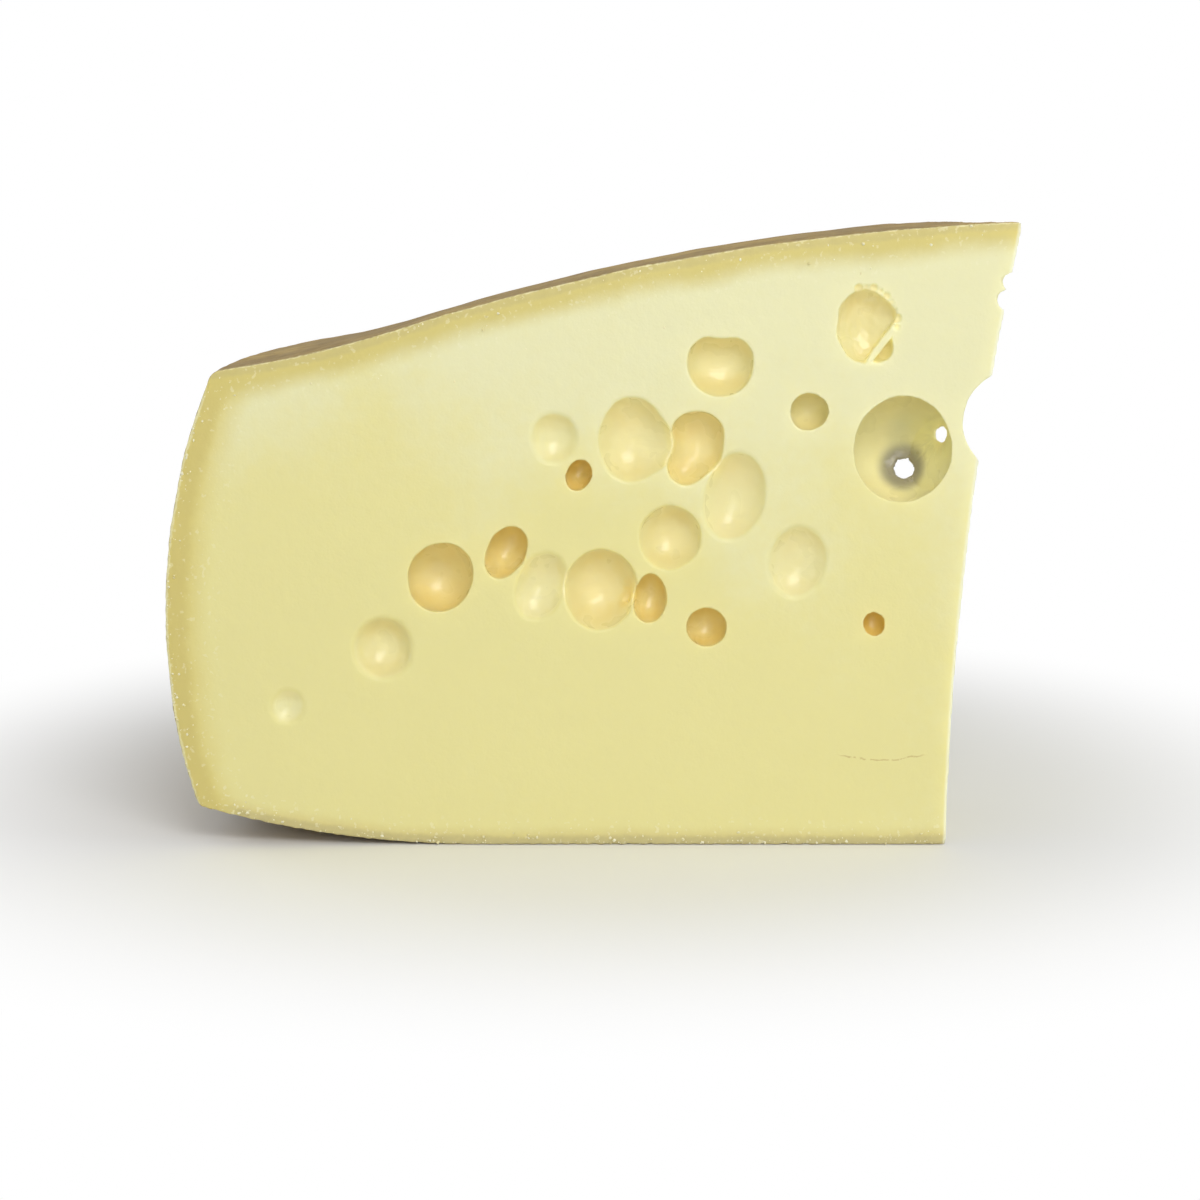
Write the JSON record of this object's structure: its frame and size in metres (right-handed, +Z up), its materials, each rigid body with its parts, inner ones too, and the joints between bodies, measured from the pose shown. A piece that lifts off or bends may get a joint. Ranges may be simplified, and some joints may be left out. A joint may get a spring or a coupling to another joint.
{
  "type": "emmental cheese wedge",
  "caption": "Large free-standing chunk of a cheese wheel: domed rind top, bulging rind side, three cut faces with round eyes.",
  "frame": {"origin": "middle of the chunk's bounding box, on the surface that it stands on", "axes": "+X along the front cut, from the rind rim to the tip side; +Y from the front cut to the back cut; +Z up"},
  "size_m": [0.342, 0.2282, 0.2528],
  "materials": {
    "cheese": "smooth pale yellow paste with a dull tan rind"
  },
  "bodies": {
    "root": {"emmental_wedge": "cheese"}
  },
  "joints": []
}
